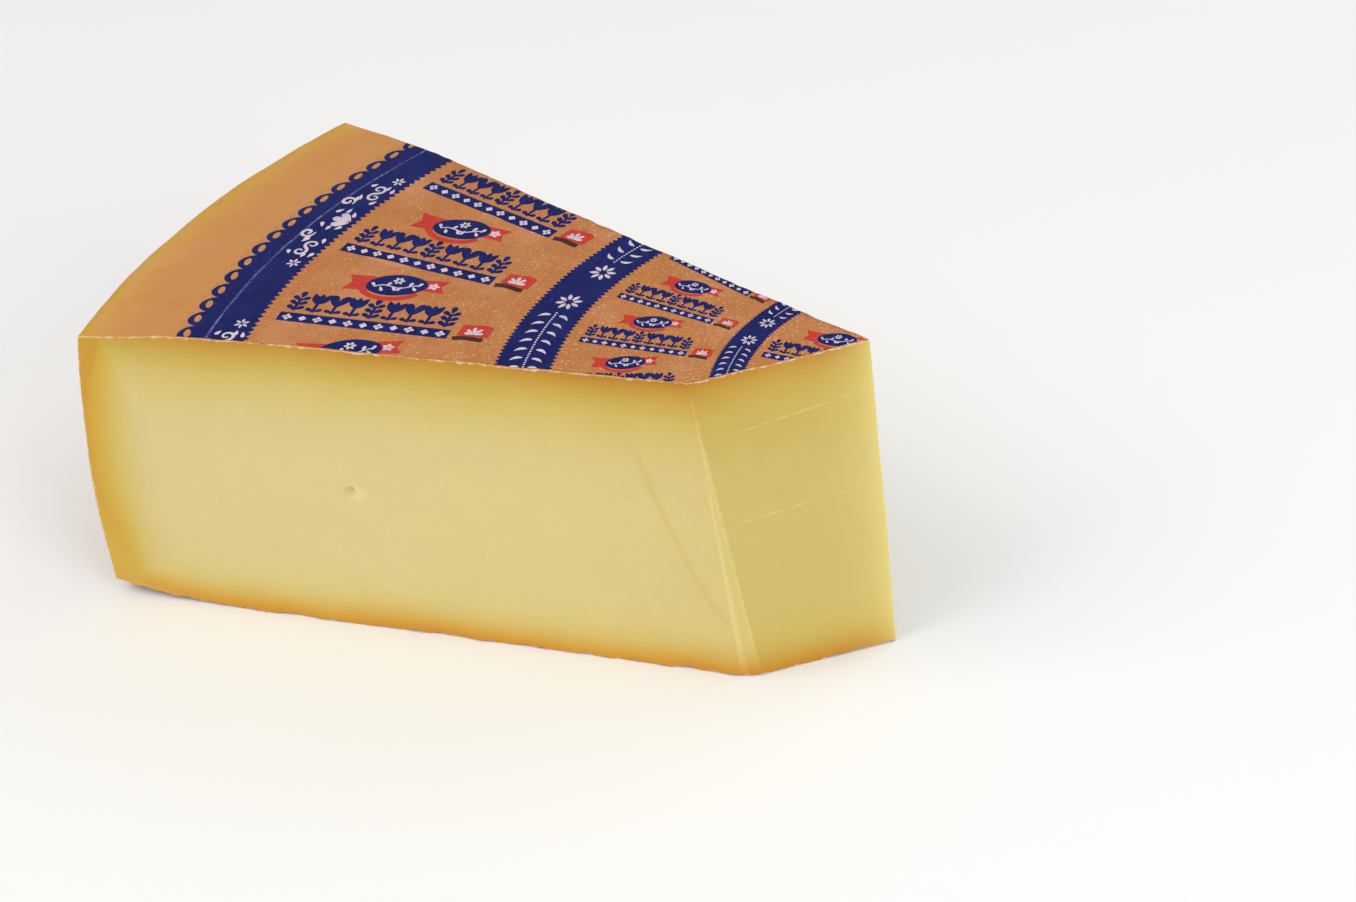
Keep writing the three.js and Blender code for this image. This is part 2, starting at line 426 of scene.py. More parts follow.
rind = {
    "reach": 60.0,  # mm that the ramp spans
    "fromHeel": [(0, "#cb9a3c"), (4, "#cf9f46"), (9, "#cf964d"), (17, "#cb8e50"), (60, "#c88a50")],
    "pink": "#d0956a",
    "ochre": "#c98a45",
    "orange": "#c9823c",
    "side": "#b27f41",
    "sideDark": "#8f6230",
    # the colour of the painted highlight along the cut edges
    "lipHighlight": "#ecd9ae",
    "threadMm": 1.15,
    "threadTurn": 38,  # degrees that the cloth lay askew
    "roughness": (0.56, 0.72),
}


# The print of a plain cloth: three sets of bands at right angles, turned about Z. Its value averages a half.
def clothPrint(tree, place):
    turned = addNode(tree, "Mapping", {"Vector": place, "Rotation": (0, 0, np.radians(rind["threadTurn"]))})
    total = 0.0
    for way in ("X", "Y", "Z"):
        bands = addNode(tree, "TexWave", {
            "Vector": turned, "Scale": bandScale(rind["threadMm"]),
            "Distortion": 3.0, "Detail": 3.0, "Detail Scale": 1.0,
        }, bands_direction=way)
        total = addNode(tree, "Math", (bands.outputs["Fac"], 1 / 3, total), operation="MULTIPLY_ADD")
    return total


# Pinkish and ochre patches a few centimetres across.
def patchy(tree, place, colour):
    patches = addNode(tree, "TexNoise", {
        "Vector": place, "Scale": perMetre(30), "Detail": 4.0, "Roughness": 0.6,
    })
    return tinted(tree, colour, [
        (patches, 0.5, 0.75, 0, 0.6, rind["pink"]),
        (patches, 0.45, 0.25, 0, 0.6, rind["ochre"]),
    ])


def makeRind():
    material, tree, shader = newMaterial("washed rind pressed in cloth")
    place = addNode(tree, "TexCoord").outputs["Object"]
    mark = {name: addNode(tree, "Attribute", attribute_name=name).outputs["Fac"] for name in marks}
    wander = addNode(tree, "TexNoise", {
        "Vector": place, "Scale": perMetre(20), "Detail": 4.0, "Roughness": 0.6,
    })
    wander = addNode(tree, "MapRange", (wander, 0, 1, -6, 6))
    depth = addNode(tree, "Math", (mark["fromHeel"], wander), operation="ADD")
    depth = addNode(tree, "MapRange", (depth, 0, rind["reach"], 0, 1))
    stops = [(at / rind["reach"], shade) for at, shade in rind["fromHeel"]]
    colour = addNode(tree, "ValToRGB", (depth,), stops)
    colour = patchy(tree, place, colour)
    # small orange stains, and a side that is browner than the top
    blotch = addNode(tree, "TexNoise", {
        "Vector": place, "Scale": perMetre(14), "Detail": 5.0, "Roughness": 0.65,
    })
    colour = tinted(tree, colour, [(blotch, 0.56, 0.7, 0, 0.5, rind["orange"])])
    side = tinted(tree, hexColour(rind["side"]), [(blotch, 0.35, 0.7, 0, 1, rind["sideDark"])])
    share = addNode(tree, "MapRange", (mark["fromTop"], 0.5, 7, 0, 0.85))
    colour = addNode(tree, "Mix", {0: share, 6: colour, 7: side}, data_type="RGBA")
    cloth = clothPrint(tree, place)
    grit = addNode(tree, "TexNoise", {
        "Vector": place, "Scale": perMetre(0.9), "Detail": 3.0, "Roughness": 0.65,
    })
    value = addNode(tree, "Math", (
        addNode(tree, "MapRange", (cloth, 0.2, 0.8, 0.988, 1.012)),
        addNode(tree, "MapRange", (grit, 0.2, 0.8, 0.93, 1.07)),
    ), operation="MULTIPLY")
    colour = addNode(tree, "HueSaturation", {"Value": value, "Color": colour})
    # painted highlight: a pale ragged line on the rounded edge along the cuts
    rag = addNode(tree, "TexNoise", {"Vector": place, "Scale": perMetre(1.6), "Detail": 3.0})
    rag = addNode(tree, "MapRange", (rag, 0.2, 0.8, -0.5, 0.5))
    lipHighlight = addNode(tree, "Math", (mark["fromCut"], rag), operation="ADD")
    height = addNode(tree, "Math", (cloth, 0.6, grit), operation="MULTIPLY_ADD")
    plug(tree, shader, {
        "Base Color": tinted(tree, colour, [(lipHighlight, 0.1, 0.5, 0.6, 0, rind["lipHighlight"])]),
        "Roughness": addNode(tree, "MapRange", (blotch, 0.2, 0.8, *rind["roughness"])),
        "Normal": addNode(tree, "Bump", {"Height": height, "Distance": 0.0003, "Strength": 0.4}),
        "IOR": 1.45,
        "Specular IOR Level": 0.2,
        "Subsurface Weight": 0.08,
        "Subsurface Radius": (1.0, 0.5, 0.25),
        "Subsurface Scale": 0.002,
    })
    return material


# The wedge itself.

wedge = {
    "stepsAlong": 180,
    "stepsAcross": 118,
    "stepsUp": 84,
    "edgeRadius": 0.7,
    "frontLength": 211.0,  # about how large the wedge is, to turn shares into mm by
    "backLength": 255.0,
    "heelWidth": 159.0,
    "tipWidth": 61.0,
    "skinHeight": 108.0,
    "sideFullness": 1.2,  # mm that the side stands proud at a height, and over how much of it
    "fullHeight": 38.0,
    "fullSpread": 26.0,
    "reliefFade": 1.5,  # mm over which a side's relief dies away on the sides next to it
}
drying = {  # mm, for the dark bands that the paste has along the rinds
    "moist": 5.0,  # how much thinner the film's and the shelf's bands are at the heel
    "filmReach": 32.0,
    "shelfReach": 28.0,
    "corner": 13.0,  # how much wider the side's band is in the heel's corners
    "cornerReach": 14.0,
    "pale": 7.0,  # the darkest stretch that it leaves out towards the bottom
    "paleReach": 30.0,
    # painted light: how far the glow along the thin edge reaches
    "glowReach": 9.0,  # along the thin edge between the tip and the back, which lets light through
}
crease = {  # where the blade turned: a bent line up the front cut
    "foot": (13.3, 17.7),  # mm along the front from the tip's top corner, and height
    "rise": 68.5,
    "lean": 33.0,  # how far its upper end lies back towards the heel
    "fadeIn": (16, 22),  # heights
    "fadeOut": (80, 88),
    "width": 1.1,
    "proud": 0.18,  # the cut's step beside it, and how far it reaches
    "proudReach": 6.0,
    "groove": 0.12,
}
eye = {  # on the front cut, placed in the same way
    "along": -119.3,
    "height": 55.7,
    "radius": 1.9,
    "depth": 0.8,
}
chipPlace = (0.5, 23.0)  # on the tip cut, measured the same way
topCorners = {name: rows[1] for name, rows in cornerRows.items()}


cutEnds = {  # the top corners that distances on a cut run from and towards
    "tip": ("tipFront", "tipBack"),
    "front": ("tipFront", "heelFront"),
    "back": ("tipBack", "heelBack"),
}


# A place on a cut at a height, whose distance from a top corner is measured along the top edge's direction.
def cutSpot(cut, distance, z):
    nearName, farName = cutEnds[cut]
    near, far = (corner(name, np.array(z / wheel["height"])) for name in cutEnds[cut])
    way = topCorners[farName] - topCorners[nearName]
    way = way / np.linalg.norm(way)
    share = (distance - (near - topCorners[nearName]) @ way) / ((far - near) @ way)
    return np.array([*(near + (far - near) * share), z])


bladeLines = [  # the cut, and the distance and height of both ends
    ("tip", (1.5, 88.0), (59.5, 93.7)),
    ("tip", (2.5, 57.1), (61.0, 60.7)),
    ("back", (12.0, 68.0), (118.0, 74.5)),
    ("back", (96.0, 31.0), (222.0, 37.0)),
]


# Shares from 0 to 1 that stand closer around some places: even steps of the summed-up crowding.
def stations(count, crowds):
    t = np.linspace(0, 1, 4001)
    crowding = 1 + sum(strength * np.exp(-(((t - at) / width) ** 2)) for at, width, strength in crowds)
    total = np.concatenate([[0], np.cumsum((crowding[1:] + crowding[:-1]) / 2)])
    return np.interp(np.linspace(0, total[-1], count + 1), total, t)


sideNames = ("heel", "tip", "front", "back", "bottom", "top")


# The skin of a block of cells: the cell corners on its outside, its squares, and the side that each is on.
def blockSkin(counts):
    i, j, k = np.indices([n + 1 for n in counts])
    outside = (i % counts[0] == 0) | (j % counts[1] == 0) | (k % counts[2] == 0)
    number = np.cumsum(outside).reshape(outside.shape) - 1
    sides = [
        number[0][:, ::-1], number[-1],
        number[:, 0], number[:, -1][:, ::-1],
        number[:, :, 0][:, ::-1], number[:, :, -1],
    ]
    squares = [np.stack([s[:-1, :-1], s[1:, :-1], s[1:, 1:], s[:-1, 1:]], -1).reshape(-1, 4) for s in sides]
    which = np.repeat(np.arange(6), [len(s) for s in squares])
    return np.stack([i, j, k], -1)[outside], np.concatenate(squares), which


# The block's skin in mm, with rounded edges: each point goes to the edge radius from the block shrunk by it.
# The cells are smaller along the edges, at the sliver and at the eye: each has its place, width and crowding.
def roundedBlock():
    counts = (wedge["stepsAlong"], wedge["stepsAcross"], wedge["stepsUp"])
    cells, squares, which = blockSkin(counts)
    eyeAlong, eyeUp = 1 + eye["along"] / wedge["frontLength"], eye["height"] / wheel["height"]
    lines = [
        stations(counts[0], [(0, 0.006, 6), (1, 0.007, 6), (1, 0.1, 0.9), (eyeAlong, 0.015, 1.5)]),
        stations(counts[1], [(0, 0.008, 5), (1, 0.008, 5), (0.03, 0.05, 2.2)]),
        stations(counts[2], [(0, 0.01, 6), (1, 0.01, 6), (eyeUp, 0.03, 1.5)]),
    ]
    shares = np.stack([lines[n][cells[:, n]] for n in range(3)], -1)
    sizes = np.stack([
        lerp(wedge["frontLength"], wedge["backLength"], shares[:, 1]),
        lerp(wedge["heelWidth"], wedge["tipWidth"], shares[:, 0]),
        np.full(len(shares), wedge["skinHeight"]),
    ], -1)
    q = shares * sizes
    inner = np.clip(q, wedge["edgeRadius"], sizes - wedge["edgeRadius"])
    away = q - inner
    length = np.maximum(np.linalg.norm(away, axis=1, keepdims=True), wedge["edgeRadius"])
    return inner + wedge["edgeRadius"] * away / length, sizes, squares, which


# How far each point stands outside the sliver's plane, and the plane's outward direction. The plane leans in
# from the front corner of the tip.
def sliverPlane(points):
    low, high = (np.array([*row, z]) for row, z in zip(cornerRows["tipFront"], (0, wheel["height"])))
    bearing = (cuts["front"][0][0] + cuts["tip"][0][0]) / 2
    foot = low - np.array([*outward(bearing), 0]) * cuts["shaveDepth"]
    start = lerp(low, high, cuts["shaveStart"] / wheel["height"])
    level = np.array([np.cos(np.radians(bearing)), np.sin(np.radians(bearing)), 0])
    normal = np.cross(level, start - foot)
    normal /= np.linalg.norm(normal)
    return (points - foot) @ normal, normal


# For each point: its distance along the front from the tip's top corner, its distance past the crease's bent
# line, and a share that fades the crease out at both ends.
def creasePlaces(points):
    z = points[:, 2]
    s = (points[:, :2] - topCorners["tipFront"]) @ outward(cuts["front"][1][0] + 90)
    rise = np.clip((z - crease["foot"][1]) / crease["rise"], 0, 1)
    off = s - (crease["foot"][0] - crease["lean"] * rise**0.7)
    (start, whole), (fading, end) = crease["fadeIn"], crease["fadeOut"]
    ends = np.clip((z - start) / (whole - start), 0, 1) * np.clip((end - z) / (end - fading), 0, 1)
    return s, off, ends


# What the materials read at each point, nearly all in mm: how deep it lies from the rinds and from the cuts.
def wedgeMarks(points, gaps, shaved):
    x, y, z = points.T
    radius = np.hypot(x, y)
    fromTop, fromBottom, fromHeel = topHeight(radius) - z, z - bottomHeight(radius), sideRadius(z) - radius
    # the film and the shelf keep the paste moist and dark, and there is less of that towards the heel
    reaches = (drying["filmReach"], drying["shelfReach"])
    filmLess, shelfLess = (drying["moist"] * np.exp(-((fromHeel / reach) ** 2)) for reach in reaches)
    # it has dried from two sides in the heel's corners, so the dark band is rounder there, and paler below
    corners = sum(np.exp(-(fromHeel + depth) / drying["cornerReach"]) for depth in (fromTop, fromBottom))
    pale = drying["pale"] * np.exp(-((fromBottom / drying["paleReach"]) ** 2))
    _, off, ends = creasePlaces(points)
    onFront = np.exp(-((gaps["front"] / wedge["reliefFade"]) ** 2))
    return {
        "fromTop": fromTop,
        "fromBottom": fromBottom,
        "fromHeel": fromHeel,
        "fromRind": np.minimum.reduce([fromTop, fromBottom, fromHeel]),
        "fromFilm": fromTop + filmLess,
        "fromShelf": np.maximum(fromBottom, shelfLess),
        "fromSide": np.maximum(fromHeel - drying["corner"] * corners, pale),
        "thinEdgeGlow": np.exp(-gaps["back"] / drying["glowReach"] - gaps["tip"] / drying["glowReach"]),
        "fromTip": gaps["tip"],
        "shave": shaved,
        "fromCut": np.minimum.reduce([gaps["front"], gaps["back"], gaps["tip"]]),
        # where painted shade falls along the crease
        "crease": np.exp(-((off / crease["width"]) ** 2)) * ends * onFront,
    }


# How far each side stands proud of the clean shape: slow waves and faster ones, and on the front the crease
# and the eye's hollow. A swell has its height in front of it, and its length in mm inside, before its seed.
# The front's bottom edge is a little ragged.
def wedgeReliefs(points, fromBottom):
    x, y, z = points.T
    s, off, ends = creasePlaces(points)
    step = crease["proud"] * np.exp(-np.clip(off, 0, None) / crease["proudReach"]) * (off > 0)
    fold = ends * (step - crease["groove"] * np.exp(-(off**2)))
    eyeSpot = cutSpot("front", -eye["along"], eye["height"])
    hollow = -eye["depth"] * np.clip(1 - (((points - eyeSpot) / eye["radius"]) ** 2).sum(1), 0, None) ** 0.7
    ragged = np.exp(-fromBottom / 3) * swell(x - y, 0 * x, 9, 30)
    turned = np.arctan2(y, -x) * 296  # mm along the side
    fullness = wedge["sideFullness"] * np.exp(-(((z - wedge["fullHeight"]) / wedge["fullSpread"]) ** 2))
    return {
        "heel": 0.12 * swell(turned, z, 40, 21) + 0.03 * swell(turned, z, 11, 22) - 0.12 + fullness,
        "tip": 0.12 * swell(x + y, z, 26, 23),
        "front": 0.1 * swell(s, z, 45, 24) + 0.03 * swell(s, z * 2.5, 9, 25) + fold + hollow + 0.35 * ragged,
        "back": 0.22 * swell(s, z, 50, 26) + 0.08 * swell(s, z * 2, 16, 27) - 0.15,
        "bottom": 0.2 - np.abs(
            0.25 * swell(x, y, 26, 28) + 0.5 * swell(x, y, 9, 29) + 0.22 * swell(x, y, 4.5, 31)
        ),
        "top": topRelief(x, y),
    }


# The wedge's skin. The rounded block's shares along, across and up map to the wedge, the sliver is cut to a
# plane, and each side's relief is added along its outward direction, fading out on the sides next to it.
def wedgeSkin():
    q, sizes, squares, which = roundedBlock()
    points = wedgePoint(*(q / sizes).T)
    shaved, normal = sliverPlane(points)
    points -= np.clip(shaved, 0, None)[:, None] * normal
    gaps = dict(zip(sideNames, np.stack([q, sizes - q], -1).reshape(-1, 6).T))
    marks = wedgeMarks(points, gaps, shaved)
    x, y, _ = points.T
    radius = np.hypot(x, y)
    ways = {  # on a cut: its bearing about halfway up, and its lean
        "heel": np.stack([x / radius, y / radius, 0 * x], -1),
        "tip": np.array([*outward(46.2), 0.16]),
        "front": np.array([*outward(13.3), 0.09]),
        "back": np.array([*outward(165.2), -0.09]),
        "bottom": np.array([0, 0, -1.0]),
        "top": np.array([0, 0, 1.0]),
    }
    for side, relief in wedgeReliefs(points, marks["fromBottom"]).items():
        share = np.exp(-gaps[side] / wedge["reliefFade"]) * relief
        points = points + ways[side] * share[:, None]
    points[:, 2] = np.maximum(points[:, 2], 0)
    return points, squares, which, marks


points, squares, which, marks = wedgeSkin()
onRind = np.array([name in ("heel", "bottom", "top") for name in sideNames])
slots = onRind[which].astype(int)
wedgePiece = makePiece("cheese", points, squares.tolist(), [makePaste(), makeRind()], slots)
for name, values in marks.items():
    attribute = wedgePiece.data.attributes.new(name, "FLOAT", "POINT")
    attribute.data.foreach_set("value", values.astype(np.float32))
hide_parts("cheese_wedge")
print("cheese:", len(points), "points")


# The label: inks printed on a thin film.
# A film of milk protein pressed on with the last cloth. It is clear, so the rind's tan shows between the
# inks, and the cloth's weave breaks the inks up into fine pale specks.

film = {
    "radius": 258.4,
    "inset": 0.45,  # mm that the blade left bare along each cut
    "length": 240.0,  # about how long it is, to measure the inset by
    "over": 0.17,  # heights of its top and its underside above the rind
    "under": 0.05,
    "sunk": -0.03,  # height of its top at the heel's rim, where it has sunk into the rind
    "sinkWidth": 4.0,
    "rimWidth": 14.0,  # over which it comes to look like the bare rind
    "drift": 0.13,  # raggedness of its outline
    "mesh": 3.2,
}
inks = [  # the ink, its streaks and their share, its specks and their share
    ("clear film over tan rind", "#ba7540", "#c98a56", 0.4, "#e6c48e", 0.6),
    ("blue ink printed on film", "#040f56", "#1a2c78", 0.5, "#3d4c8c", 0.35),
    ("red ink printed on film", "#c2352a", "#cc4a38", 0.4, "#de8a66", 0.35),
    ("white ink printed on film", "#d9cbd2", "#b3a5bd", 0.6, "#8f86ac", 0.5),
    ("brown ink printed on film", "#3c211c", "#5a342a", 0.4, "#8a5a48", 0.3),
    ("pale blue ink printed on film", "#6f78ad", "#2a3a80", 0.9, "#1a2a70", 0.9),
]
clear, blue, red, white, brown, paleBlue = range(6)
shapes = []  # (ink, outline), painted in this order


def addShape(ink, outline):
    shapes.append((ink, outline))


# Points at even steps of the angle, from two half sizes.
def oval(rx, ry, count=24):
    t = np.linspace(0, 2 * np.pi, count, endpoint=False)
    return np.stack([rx * np.cos(t), ry * np.sin(t)], -1)


# A leaf along +X from the origin. Its width follows the sine of pi times a power of the share along it, and
# its middle is bent sideways.
def leaf(length, width, fullness=0.8, bend=0.0):
    t = np.linspace(0, 1, 9)
    half = width / 2 * np.sin(np.pi * t**fullness) ** 0.9
    middle = bend * np.sin(np.pi * t)
    there = np.stack([t * length, middle + half], -1)
    back = np.stack([t * length, middle - half], -1)[-2:0:-1]
    return np.concatenate([there, back])


# A drop, pointed at the origin and round at its far end: the height of an oval times a power of sin(t / 2).
def drop(length, width):
    t = np.linspace(0, 2 * np.pi, 18, endpoint=False)
    side = np.sin(t) * np.sin(t / 2) ** 1.2
    return np.stack([length / 2 * (1 - np.cos(t)), width / 2 * side / side.max()], -1)


# An outline turned by some degrees, scaled and then shifted.
def moved(outline, x=0.0, y=0.0, turn=0.0, scale=1.0):
    c, s = np.cos(np.radians(turn)), np.sin(np.radians(turn))
    return scale * outline @ np.array([[c, s], [-s, c]]) + (x, y)


# A curl from the origin inwards: the radius shrinks as the line turns.
def curl(radius, turns, start):
    t = np.linspace(0, 1, 20)
    angle = np.radians(start + 360 * turns * t)
    line = (radius * (1 - 0.75 * t**0.9))[:, None] * np.stack([np.cos(angle), np.sin(angle)], -1)
    return line - line[0]


# A line of changing width: its two sides lie half the width off along the normals.
def ribbon(line, widths):
    way = np.gradient(line, axis=0)
    way /= np.linalg.norm(way, axis=1, keepdims=True)
    normal = np.stack([-way[:, 1], way[:, 0]], -1)
    half = np.broadcast_to(np.asarray(widths, float), len(line))[:, None] / 2
    return np.concatenate([line + normal * half, (line - normal * half)[::-1]])


# An S-shaped scroll: a curl, and the same curl turned round about the middle.
def scroll(radius, turns, start, width):
    half = curl(radius, turns, start)
    line = np.concatenate([half[:0:-1], -half])
    return ribbon(line, width * (0.6 + 0.5 * np.sin(np.linspace(0, np.pi, len(line))) ** 2))


def box(x0, y0, x1, y1):
    return np.array([(x0, y0), (x1, y0), (x1, y1), (x0, y1)], float)


def diamond(rx, ry):
    return np.array([(rx, 0), (0, ry), (-rx, 0), (0, -ry)], float)


# Petals around the origin: leaves that begin at the core.
def blossom(count, radius, width, core=0.4):
    petal = leaf(radius - core, width, 1.0)
    turns = np.arange(count) * 360 / count
    return [moved(petal, *moved(np.array([(core, 0.0)]), turn=a)[0], turn=a) for a in turns]


# Bends an outline onto a ring about the axis: x runs along the ring, y outwards.
def onRing(outline, radius, degrees):
    r = radius + outline[:, 1]
    angle = np.radians(degrees) + outline[:, 0] / radius
    return np.stack([-r * np.cos(angle), r * np.sin(angle)], -1)


# Points along a ring, from one place to another in degrees.
def arcLine(radius, low, high):
    count = int(np.radians(abs(high - low)) * radius / 1.5)
    return onRing(np.zeros((count, 2)), radius, np.linspace(low, high, count))


# A ring's toothed edge: the radius swings between two values from point to point.
def teeth(radius, depth, pitch, low, high):
    count = int(np.radians(high - low) * radius / pitch) * 2
    r = radius + depth * (np.arange(count) % 2 - 0.5)
    angle = np.radians(np.linspace(low, high, count))
    return np.stack([-r * np.cos(angle), r * np.sin(angle)], -1)


# A blue ring between two lines.
def band(outer, inner):
    addShape(blue, np.concatenate([outer, inner[::-1]]))


# The outer band: lace loops, a fine broken line, a heart between scrolls and blossoms, and a toothed inner
# edge. Ornament shapes and places are in mm, along the ring and outwards.
bandReach = 19.0  # degrees, past both cuts
scrollLeaves = (  # x, y, turn and length
    (6.6, 3.4, 150, 3.4), (6.4, -1.6, 205, 3.4), (7.9, 0.9, 178, 3.2),
    (15.6, 4.9, 205, 3.2), (17.3, 4.6, 205, 3.6), (16.0, -3.6, 160, 3.4),
    (25.8, -3.4, 195, 3.4), (26.6, -1.2, 180, 3.0), (25.6, 4.2, 150, 2.8),
)


def laceBand():
    band(arcLine(251.6, -bandReach, bandReach), teeth(232.1, 1.7, 2.6, -bandReach, bandReach))
    for k in range(-9, 10):
        at = 1.1 + 2.07 * k
        addShape(blue, onRing(oval(4.75, 6.0, 30), 251.1, at))
        addShape(clear, onRing(moved(oval(2.3, 1.2, 18), 0, 2.4, 14), 251.2, at))
    lengths = np.random.default_rng(51).uniform(0.35, 1.2, 130)
    for at, length in zip(np.linspace(-bandReach, bandReach, len(lengths)), lengths):
        addShape(paleBlue, onRing(box(-length / 2, -0.45, length / 2, 0.45), 246.2, at))
    for centre in (3.0, -21.0):
        for x, turn, length, width in ((0.7, 60, 6.4, 2.9), (-0.7, 120, 6.4, 2.9), (0, 90, 7.2, 3.0)):
            addShape(white, onRing(moved(drop(length, width), x, -4.3, turn), 238.6, centre))
        for side in (-1, 1):
            flip = np.array([side, 1.0])
            for x, y, turn, length in scrollLeaves:
                addShape(white, onRing(moved(drop(length, 1.5), x, y, turn) * flip, 238.2, centre))
            line = curl(2.9, 1.25, 250)
            tendril = ribbon(line, 0.3 + np.sin(np.linspace(0.3, 2.8, len(line))))
            addShape(white, onRing(moved(tendril, 10.3, 3.2) * flip, 238.2, centre))
            addShape(white, onRing(moved(scroll(2.75, 1.1, 20, 1.1), 20.3, 0.4) * flip, 238.2, centre))
            for petal in blossom(6, 2.7, 1.0):
                addShape(white, onRing(moved(petal, 30.4, -0.4) * flip, 237.6, centre))


# A narrower band: two blossoms, and away from them sprays of leaves on a dotted stem.
def sprayBand(outerRadius, innerRadius, pitch, blossoms, size):
    middle = (outerRadius + innerRadius) / 2
    reach = 34 if size < 0.8 else 25
    band(*[teeth(radius, 1.3 * size, pitch, -reach, reach) for radius in (outerRadius, innerRadius)])
    for at in blossoms:
        for petal in blossom(8, 4.7 * size, 1.5 * size, 1.2 * size):
            addShape(white, onRing(moved(petal, turn=22.5), middle - 0.8 * size, at))
    step = np.degrees(5.1 * size / middle)
    for side, start in ((1, max(blossoms)), (-1, min(blossoms))):
        flip = np.array([side, 1.0])
        for k in range(1, 9):
            at = start + side * (step * k + np.degrees(3.4 * size / middle))
            addShape(white, onRing(moved(leaf(4.6, 1.35, 0.7, 0.7), 0, 1.4, 62, size) * flip, middle, at))
            addShape(white, onRing(moved(leaf(4.6, 1.35, 0.7, -0.7), 0, -1.4, -62, size) * flip, middle, at))
            for share in (-0.25, 0.0, 0.25, 0.5):
                addShape(white, onRing(oval(0.42 * size, 0.42 * size, 6), middle, at + side * step * share))


# One row of the repeated print, drawn in mm about the wheel's axis for the large size.
rowMiddle = -196.5  # X of its bar's middle


def printRow(degrees, scale=1.0, centre=rowMiddle):
    c, s = np.cos(np.radians(degrees)), np.sin(np.radians(degrees))

    def put(ink, outline):
        flat = np.stack([centre + scale * (outline[:, 0] - rowMiddle), scale * outline[:, 1]], -1)
        addShape(ink, flat @ np.array([[c, -s], [s, c]]))

    # the bar with its chain of diamonds and blossoms
    put(blue, box(-226.8, -2.6, -166.4, 2.6))
    for k in range(11):
        x = -223.6 + 5.42 * k
        for outline in [diamond(1.5, 1.5)] if k % 2 else blossom(4, 1.8, 1.4, 0.2):
            put(white, moved(outline, x, 0))
    # a row of sprigs, tulips and hearts above it
    for k, kind in enumerate("sthtsthts"):
        x, y = -223.2 + 6.72 * k, 4.0
        put(blue, moved(box(-0.6, 0, 0.6, 7.5), x, y))
        if kind == "s":
            for h in (0.3, 3.2, 6.1):
                put(blue, moved(drop(3.9, 2.0), x, y + h, 42))
                put(blue, moved(drop(3.9, 2.0), x, y + h, 138))
            put(blue, moved(drop(4.2, 2.2), x, y + 7.6, 90))
            continue
        for turn in (28, 152):
            put(blue, moved(drop(3.3, 1.9), x, y + 0.5, turn))
        if kind == "t":
            for turn, length in ((65, 7.4), (90, 6.8), (115, 7.4)):
                put(blue, moved(leaf(length, 3.0, 0.95), x, y + 4.7, turn))
        else:
            for turn in (69, 111):
                put(blue, moved(drop(7.8, 3.3), x, y + 4.0, turn))
    # a dark oval with a flowering twig, on a red ribbon
    put(red, np.array([(-202.5, 20.6), (-212.6, 20.0), (-210.4, 24.6), (-212.6, 29.2), (-202.5, 28.8)]))
    put(red, np.array([(-185.8, 23.0), (-176.8, 22.8), (-178.8, 26.6), (-176.8, 30.4), (-185.8, 30.0)]))
    for petal in blossom(5, 2.2, 1.4, 0.2):
        put(white, moved(petal, -181.6, 26.5, 8))
    put(red, moved(ribbon(moved(oval(10.9, 7.4, 40)[21:37]), 2.4), -194.8, 24.0, 8))
    put(blue, moved(oval(10.7, 6.3, 36), -194.2, 25.0, 8))
    stem = np.stack([np.linspace(-7.8, 7.6, 16), 0.9 * np.sin(np.linspace(0, 8, 16)) - 0.8], -1)
    put(white, moved(ribbon(stem, 0.55), -194.2, 24.9, 8))
    leaves = (
        (-7.4, 120), (-5.6, -70), (-3.6, 60), (-1.4, -60), (2.0, -120), (4.2, 70), (5.6, -60), (7.2, 60),
    )
    for x, turn in leaves:
        put(white, moved(moved(drop(2.9, 1.2), x, -0.8, turn), -194.2, 24.9, 8))
    for petal in blossom(6, 2.2, 1.1):
        put(white, moved(moved(petal, 0.2, 2.7), -194.2, 24.9, 8))
    # a red patch with a small white sprig, over a brown twig
    twig = np.stack([np.linspace(-5.8, 4.6, 9), 0.5 * np.sin(np.linspace(0, 5, 9))], -1)
    put(brown, moved(ribbon(twig, 2.4), -158.8, -1.3, 6))
    patch = np.array([(-5.6, -2.5), (5.2, -3.4), (6.0, 2.8), (3.4, 4.1), (-4.6, 3.5)])
    put(red, moved(patch, -158.4, 3.0, 4))
    for turn, length in ((18, 3.4), (58, 4.2), (96, 4.2), (136, 3.8), (170, 3.2)):
        put(white, moved(drop(length, 1.25), -158.4, 1.3, turn))


laceBand()
sprayBand(146.1, 127.6, 2.0, (7.5, -1.1), 1.0)
sprayBand(76.5, 66.1, 1.35, (9.3, 0.3), 0.6)
for degrees in (23.0, 11.3, -0.5, -12.1, -23.8):
    printRow(degrees)
for degrees in (16.7, 3.5, -9.6, -22.8):
    printRow(degrees, 0.6, -105.0)
for degrees in (-4.4, -26.0):
    printRow(degrees, 0.6, -45.4)


# Which points lie inside an outline: those whose line towards +X crosses it an odd number of times.
def inside(points, outline):
    x, y = points[:, 0, None], points[:, 1, None]
    x0, y0 = outline.T
    x1, y1 = np.roll(outline, -1, 0).T
    with np.errstate(divide="ignore", invalid="ignore"):
        crossed = ((y0 > y) != (y1 > y)) & (x < (x1 - x0) * (y - y0) / (y1 - y0) + x0)
    return crossed.sum(1) % 2 == 1


